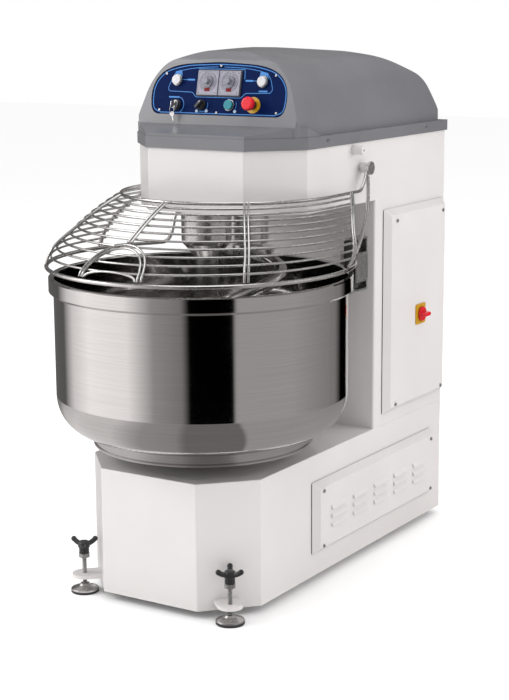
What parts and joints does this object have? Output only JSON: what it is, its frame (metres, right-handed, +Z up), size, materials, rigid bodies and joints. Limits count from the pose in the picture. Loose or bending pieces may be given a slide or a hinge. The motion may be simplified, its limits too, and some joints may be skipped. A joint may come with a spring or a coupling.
{
  "type": "spiral dough mixer",
  "caption": "Floor-standing spiral dough mixer: fixed stainless bowl turning under a spiral and breaker bar, hinged wire guard, hooded head with a control panel, jack feet.",
  "frame": {"origin": "on the floor, under the middle of the bounding box", "axes": "+X to the operator's right, +Y from the bowl to the column, +Z up"},
  "size_m": [0.92, 1.499, 1.6056],
  "materials": {
    "base_housing": "warm white enamel",
    "column_housing": "warm white enamel",
    "head_housing": "warm white enamel",
    "access_panels": "warm white enamel",
    "vent_panels": "warm white enamel",
    "top_cover": "satin grey moulding",
    "panel_gaskets": "black",
    "body_screws": "zinc plated",
    "safety_backplates": "yellow",
    "switch_bodies": "black",
    "isolator_handle": "red",
    "control_panel": "dark blue printed sheet",
    "timers": "black",
    "timer_faces": "silver",
    "timer_windows": "dark red",
    "timer_knob_left": "silver grey",
    "timer_knob_right": "silver grey",
    "button_bezels": "satin",
    "white_button_left": "white",
    "white_button_right": "white",
    "green_button": "blue-green",
    "speed_selector": "black",
    "key_lock": "dark chrome",
    "lock_key": "nickel",
    "emergency_stop": "red",
    "indicator_lamps": "pale",
    "bowl": "stainless",
    "bowl_ring": "stainless",
    "bowl_shaft": "ground",
    "bowl_bearing_housing": "dark",
    "shaft_bearings": "ground",
    "bowl_pulley": "cast",
    "bowl_motor_pulley": "turned",
    "bowl_gearmotor": "grey-blue paint",
    "bowl_belt": "black",
    "spiral_tool": "polished stainless",
    "spiral_shaft": "ground",
    "spiral_bearing_housing": "stainless",
    "spiral_pulley": "cast",
    "motor_pulley": "turned",
    "spiral_motor": "grey-blue paint",
    "spiral_belts": "black",
    "breaker_bar": "polished stainless",
    "guard_frame": "polished stainless",
    "guard_wires": "polished stainless",
    "guard_ribs": "polished stainless",
    "guard_bosses": "polished stainless",
    "guard_pins": "warm white enamel",
    "roller_bracket": "stainless",
    "rim_roller": "black",
    "foot_pad_left": "stainless over rubber",
    "foot_pad_right": "stainless over rubber",
    "foot_screw_left": "zinc plated",
    "foot_screw_right": "zinc plated",
    "foot_handwheel_left": "black",
    "foot_handwheel_right": "black",
    "rear_wheel_left": "dark grey",
    "rear_wheel_right": "dark grey",
    "control_gear": "light grey",
    "cable_gland": "black"
  },
  "bodies": {
    "machine_frame": {"base_housing": "base_housing", "column_housing": "column_housing", "head_housing": "head_housing", "access_panels": "access_panels", "vent_panels": "vent_panels", "top_cover": "top_cover", "panel_gaskets": "panel_gaskets", "body_screws": "body_screws", "safety_backplates": "safety_backplates", "switch_bodies": "switch_bodies", "control_panel": "control_panel", "timers": "timers", "timer_faces": "timer_faces", "timer_windows": "timer_windows", "button_bezels": "button_bezels", "indicator_lamps": "indicator_lamps", "bowl_bearing_housing": "bowl_bearing_housing", "shaft_bearings": "shaft_bearings", "bowl_gearmotor": "bowl_gearmotor", "bowl_belt": "bowl_belt", "spiral_bearing_housing": "spiral_bearing_housing", "spiral_motor": "spiral_motor", "spiral_belts": "spiral_belts", "breaker_bar": "breaker_bar", "guard_pins": "guard_pins", "roller_bracket": "roller_bracket", "control_gear": "control_gear", "cable_gland": "cable_gland"},
    "bowl_group": {"bowl": "bowl", "bowl_ring": "bowl_ring", "bowl_shaft": "bowl_shaft", "bowl_pulley": "bowl_pulley"},
    "bowl_drive_pulley": {"bowl_motor_pulley": "bowl_motor_pulley"},
    "spiral_group": {"spiral_tool": "spiral_tool", "spiral_shaft": "spiral_shaft", "spiral_pulley": "spiral_pulley"},
    "spiral_drive_pulley": {"motor_pulley": "motor_pulley"},
    "guard": {"guard_frame": "guard_frame", "guard_wires": "guard_wires", "guard_ribs": "guard_ribs", "guard_bosses": "guard_bosses"},
    "roller": {"rim_roller": "rim_roller"},
    "foot_left": {"foot_pad_left": "foot_pad_left"},
    "foot_right": {"foot_pad_right": "foot_pad_right"},
    "jack_left": {"foot_screw_left": "foot_screw_left", "foot_handwheel_left": "foot_handwheel_left"},
    "jack_right": {"foot_screw_right": "foot_screw_right", "foot_handwheel_right": "foot_handwheel_right"},
    "wheel_left": {"rear_wheel_left": "rear_wheel_left"},
    "wheel_right": {"rear_wheel_right": "rear_wheel_right"},
    "isolator": {"isolator_handle": "isolator_handle"},
    "timer_dial_left": {"timer_knob_left": "timer_knob_left"},
    "timer_dial_right": {"timer_knob_right": "timer_knob_right"},
    "start_left": {"white_button_left": "white_button_left"},
    "start_right": {"white_button_right": "white_button_right"},
    "jog_button": {"green_button": "green_button"},
    "selector": {"speed_selector": "speed_selector"},
    "key_switch": {"key_lock": "key_lock", "lock_key": "lock_key"},
    "mushroom": {"emergency_stop": "emergency_stop"}
  },
  "joints": [
    {"name": "bowl_spin", "type": "hinge", "parent": "machine_frame", "child": "bowl_group", "pos_m": [0, -0.2895, 0.45], "axis": [0, 0, 1], "continuous": true},
    {"name": "bowl_motor_spin", "type": "hinge", "parent": "machine_frame", "child": "bowl_drive_pulley", "pos_m": [0, 0.3455, 0.22], "axis": [0, 0, 1], "continuous": true},
    {"name": "spiral_spin", "type": "hinge", "parent": "machine_frame", "child": "spiral_group", "pos_m": [0, -0.0345, 1.1], "axis": [0, 0, 1], "continuous": true},
    {"name": "spiral_motor_spin", "type": "hinge", "parent": "machine_frame", "child": "spiral_drive_pulley", "pos_m": [0, 0.4805, 1.2], "axis": [0, 0, 1], "continuous": true},
    {"name": "guard_lift", "type": "hinge", "parent": "machine_frame", "child": "guard", "pos_m": [0, 0.1415, 1.245], "axis": [-1, 0, 0], "range_deg": [0, 66]},
    {"name": "rim_roller_spin", "type": "hinge", "parent": "machine_frame", "child": "roller", "pos_m": [0.305, 0.0715, 0.95], "axis": [0, 0, 1], "continuous": true},
    {"name": "timer_left_turn", "type": "hinge", "parent": "machine_frame", "child": "timer_dial_left", "pos_m": [-0.038, -0.17967, 1.50965], "axis": [0, 0.9763, -0.2164], "range_deg": [0, 300]},
    {"name": "timer_right_turn", "type": "hinge", "parent": "machine_frame", "child": "timer_dial_right", "pos_m": [0.038, -0.17967, 1.50965], "axis": [0, 0.9763, -0.2164], "range_deg": [0, 300]},
    {"name": "selector_turn", "type": "hinge", "parent": "machine_frame", "child": "selector", "pos_m": [-0.056, -0.19461, 1.44229], "axis": [0, 0.9763, -0.2164], "range_deg": [0, 90]},
    {"name": "key_turn", "type": "hinge", "parent": "machine_frame", "child": "key_switch", "pos_m": [-0.145, -0.19504, 1.44034], "axis": [0, 0.9763, -0.2164], "range_deg": [0, 90]},
    {"name": "isolator_turn", "type": "hinge", "parent": "machine_frame", "child": "isolator", "pos_m": [0.34, 0.5105, 0.738], "axis": [-1, 0, 0], "range_deg": [0, 90]},
    {"name": "start_left_press", "type": "slide", "parent": "machine_frame", "child": "start_left", "axis": [0, 0.9763, -0.2164], "range_m": [0, 0.0035], "stiffness_N_per_m": 400},
    {"name": "start_right_press", "type": "slide", "parent": "machine_frame", "child": "start_right", "axis": [0, 0.9763, -0.2164], "range_m": [0, 0.0035], "stiffness_N_per_m": 400},
    {"name": "jog_press", "type": "slide", "parent": "machine_frame", "child": "jog_button", "axis": [0, 0.9763, -0.2164], "range_m": [0, 0.0035], "stiffness_N_per_m": 400},
    {"name": "emergency_press", "type": "slide", "parent": "machine_frame", "child": "mushroom", "axis": [0, 0.9763, -0.2164], "range_m": [0, 0.005]},
    {"name": "wheel_left_spin", "type": "hinge", "parent": "machine_frame", "child": "wheel_left", "pos_m": [-0.215, 0.6005, 0.038], "axis": [1, 0, 0], "continuous": true},
    {"name": "wheel_right_spin", "type": "hinge", "parent": "machine_frame", "child": "wheel_right", "pos_m": [0.215, 0.6005, 0.038], "axis": [1, 0, 0], "continuous": true},
    {"name": "foot_left_travel", "type": "slide", "parent": "machine_frame", "child": "foot_left", "axis": [0, 0, 1], "range_m": [0, 0.012]},
    {"name": "jack_left_turn", "type": "hinge", "parent": "foot_left", "child": "jack_left", "pos_m": [-0.2614, -0.5507, 0.1], "axis": [0, 0, 1], "range_deg": [0, 2160.1]},
    {"name": "foot_right_travel", "type": "slide", "parent": "machine_frame", "child": "foot_right", "axis": [0, 0, 1], "range_m": [0, 0.012]},
    {"name": "jack_right_turn", "type": "hinge", "parent": "foot_right", "child": "jack_right", "pos_m": [0.2614, -0.5507, 0.1], "axis": [0, 0, 1], "range_deg": [0, 2160.1]}
  ],
  "couplings": [
    {"joint": "bowl_motor_spin", "follows": "bowl_spin", "ratio": 3},
    {"joint": "rim_roller_spin", "follows": "bowl_spin", "ratio": -20.27},
    {"joint": "spiral_motor_spin", "follows": "spiral_spin", "ratio": 6},
    {"joint": "jack_left_turn", "follows": "foot_left_travel", "rad_per_m": 3141.6},
    {"joint": "jack_right_turn", "follows": "foot_right_travel", "rad_per_m": 3141.6}
  ]
}
